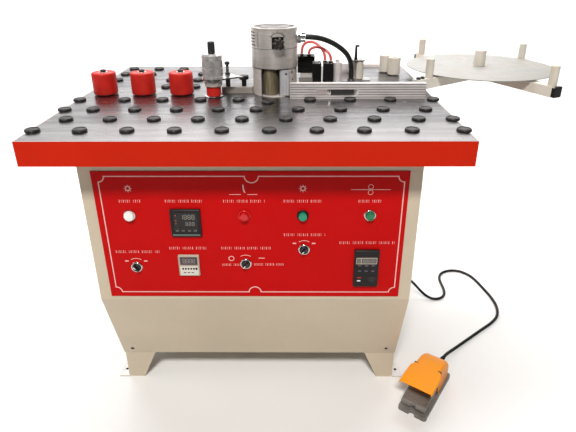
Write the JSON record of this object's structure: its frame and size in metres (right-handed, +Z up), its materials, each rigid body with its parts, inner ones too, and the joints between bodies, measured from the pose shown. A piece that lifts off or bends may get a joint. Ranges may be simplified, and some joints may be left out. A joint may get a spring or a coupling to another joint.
{
  "type": "edge banding machine",
  "caption": "Bench-height edge banding machine: red-aproned steel table with glue pot, press rollers, tape cutter and tape tray on a beige cabinet, with control panel and corded foot switch",
  "frame": {"origin": "centre of the rectangle of four floor bolt holes, at floor level", "axes": "+X to the operator's right, +Y away from the operator towards the back, +Z up"},
  "size_m": [1.453, 0.9542, 1.0273],
  "materials": {
    "cabinet_paint": "beige powder coat, satin",
    "panel_red": "deep red semi-gloss",
    "apron_red": "orange-red gloss paint",
    "table_steel": "ground steel plate, blotchy",
    "black_plastic": "hard black plastic",
    "grey_plastic": "light grey moulded case",
    "bezel_chrome": "polished bezels",
    "red_plastic": "red button cap",
    "green_plastic": "green button cap",
    "white_plastic": "white gloss laminate",
    "red_rubber": "red polyurethane rubber",
    "machined_steel": "turned and ground steel",
    "machined_aluminium": "turned aluminium",
    "black_steel": "black oxide and black anodised metal",
    "dark_steel": "dark steel",
    "glue_bronze": "bronze roller with a film of amber glue",
    "black_rubber": "black sheath",
    "red_hose": "red translucent polyurethane tube",
    "white_nylon": "white nylon, waxy",
    "cream_paint": "cream powder coat",
    "pedal_grey": "grey painted casting",
    "guard_orange": "orange moulded hood",
    "gland_metal": "nickel-plated glands",
    "motor_paint": "dark motor paint"
  },
  "bodies": {
    "machine": {"air_hoses": "red_hose", "arm_block": "dark_steel", "bearing_housing": "machined_aluminium", "bolts": "black_steel", "button_bezels": "bezel_chrome", "cabinet_shell": "cabinet_paint", "cable_glands": "gland_metal", "contactors": "black_plastic", "control_panel": "panel_red", "counter": "grey_plastic", "cutter_frame": "machined_aluminium", "drive_belt": "black_rubber", "feeder_bracket": "machined_steel", "feet": "cabinet_paint", "fence": "machined_aluminium", "foot_switch_cord": "black_rubber", "gear_motors": "motor_paint", "glue_pot_body": "machined_steel", "glue_pot_cap": "machined_aluminium", "heater_ring": "machined_aluminium", "pedal_base": "pedal_grey", "pedal_guard": "guard_orange", "pneumatic_blocks": "black_steel", "pot_conduit": "black_rubber", "power_lamp": "white_plastic", "pressure_arm": "machined_steel", "rear_cover": "cabinet_paint", "scraper_block": "machined_steel", "speed_controller": "black_plastic", "support_buttons": "black_plastic", "table_frame": "apron_red", "table_top": "table_steel", "temperature_controller": "black_plastic", "tray_arms": "cream_paint", "tray_posts": "white_nylon"},
    "left_press": {"press_roller_left": "red_rubber"},
    "middle_press": {"press_roller_middle": "red_rubber"},
    "right_press": {"press_roller_right": "red_rubber"},
    "drive": {"drive_shaft": "machined_steel", "drive_roller": "red_rubber"},
    "glue": {"glue_shaft": "machined_steel", "glue_roller": "glue_bronze"},
    "spindle": {"spindle_cap": "black_steel"},
    "clamp": {"clamp_knob": "black_plastic"},
    "flow": {"flow_knob": "black_plastic"},
    "lid": {"pot_lid": "machined_aluminium"},
    "feeder": {"feeder_roller": "white_nylon"},
    "lever": {"feeder_lever": "black_plastic"},
    "front_guide": {"guide_roller_front": "white_nylon"},
    "rear_guide": {"guide_roller_rear": "white_nylon"},
    "tray": {"tray_disc": "white_plastic", "tray_hub": "white_nylon"},
    "cutter": {"cutter_blade": "machined_steel"},
    "cut_press": {"cut_button": "red_plastic"},
    "feed_press": {"feed_motor_button": "green_plastic"},
    "feeder_press": {"feeder_button": "green_plastic"},
    "power_knob": {"power_selector": "black_plastic"},
    "function_knob": {"function_selector": "black_plastic"},
    "motor_knob": {"motor_selector": "black_plastic"},
    "treadle": {"pedal_treadle": "pedal_grey"}
  },
  "joints": [
    {"name": "left_press_spin", "type": "hinge", "parent": "machine", "child": "left_press", "pos_m": [-0.442, -0.043, 0.87], "axis": [0, 0, 1], "continuous": true},
    {"name": "middle_press_spin", "type": "hinge", "parent": "machine", "child": "middle_press", "pos_m": [-0.331, -0.043, 0.87], "axis": [0, 0, 1], "continuous": true},
    {"name": "right_press_spin", "type": "hinge", "parent": "machine", "child": "right_press", "pos_m": [-0.22, -0.043, 0.87], "axis": [0, 0, 1], "continuous": true},
    {"name": "glue_spin", "type": "hinge", "parent": "machine", "child": "glue", "pos_m": [0.0395, -0.056, 0.87], "axis": [0, 0, 1], "continuous": true},
    {"name": "drive_spin", "type": "hinge", "parent": "machine", "child": "drive", "pos_m": [-0.123, -0.071, 0.86], "axis": [0, 0, 1], "continuous": true},
    {"name": "spindle_turn", "type": "hinge", "parent": "machine", "child": "spindle", "pos_m": [-0.123, -0.071, 0.96], "axis": [0, 0, 1], "range_deg": [-360, 360]},
    {"name": "clamp_turn", "type": "hinge", "parent": "machine", "child": "clamp", "pos_m": [-0.041, -0.018, 0.87], "axis": [0, 0, 1], "range_deg": [-90, 360]},
    {"name": "flow_turn", "type": "hinge", "parent": "machine", "child": "flow", "pos_m": [0.06146, -0.085, 0.989], "axis": [0.1736, -0.9848, 0], "range_deg": [0, 300]},
    {"name": "lid_lift", "type": "slide", "parent": "machine", "child": "lid", "axis": [0, 0, 1], "range_m": [0, 0.08]},
    {"name": "feeder_spin", "type": "hinge", "parent": "machine", "child": "feeder", "pos_m": [0.318, 0.145, 0.87], "axis": [0, 0, 1], "continuous": true},
    {"name": "lever_turn", "type": "hinge", "parent": "machine", "child": "lever", "pos_m": [0.303, 0.14, 0.92], "axis": [0, 0, 1], "range_deg": [-60, 60]},
    {"name": "front_guide_spin", "type": "hinge", "parent": "machine", "child": "front_guide", "pos_m": [0.4435, 0.225, 0.87], "axis": [0, 0, 1], "continuous": true},
    {"name": "rear_guide_spin", "type": "hinge", "parent": "machine", "child": "rear_guide", "pos_m": [0.4215, 0.272, 0.87], "axis": [0, 0, 1], "continuous": true},
    {"name": "tray_spin", "type": "hinge", "parent": "machine", "child": "tray", "pos_m": [0.714, 0.185, 0.876], "axis": [0, 0, 1], "continuous": true},
    {"name": "cutter_stroke", "type": "slide", "parent": "machine", "child": "cutter", "axis": [0, -1, 0], "range_m": [0, 0.012]},
    {"name": "cut_button_press", "type": "slide", "parent": "machine", "child": "cut_press", "axis": [0, 1, 0], "range_m": [0, 0.003], "stiffness_N_per_m": 600, "springref_m": -0.002},
    {"name": "feed_button_press", "type": "slide", "parent": "machine", "child": "feed_press", "axis": [0, 1, 0], "range_m": [0, 0.003], "stiffness_N_per_m": 600, "springref_m": -0.002},
    {"name": "feeder_button_press", "type": "slide", "parent": "machine", "child": "feeder_press", "axis": [0, 1, 0], "range_m": [0, 0.003], "stiffness_N_per_m": 600, "springref_m": -0.002},
    {"name": "power_turn", "type": "hinge", "parent": "machine", "child": "power_knob", "pos_m": [-0.303, -0.382, 0.467], "axis": [0, -1, 0], "range_deg": [-90, 0]},
    {"name": "function_turn", "type": "hinge", "parent": "machine", "child": "function_knob", "pos_m": [-0.019, -0.382, 0.477], "axis": [0, -1, 0], "range_deg": [0, 90]},
    {"name": "motor_turn", "type": "hinge", "parent": "machine", "child": "motor_knob", "pos_m": [0.131, -0.382, 0.52], "axis": [0, -1, 0], "range_deg": [0, 90]},
    {"name": "treadle_press", "type": "hinge", "parent": "machine", "child": "treadle", "pos_m": [0.53551, -0.30275, 0.046], "axis": [0.8197, -0.5728, 0], "range_deg": [0, 4.5], "stiffness_Nm_per_rad": 8, "springref_deg": -5.73}
  ],
  "couplings": [
    {"joint": "drive_spin", "follows": "glue_spin", "ratio": 1}
  ]
}
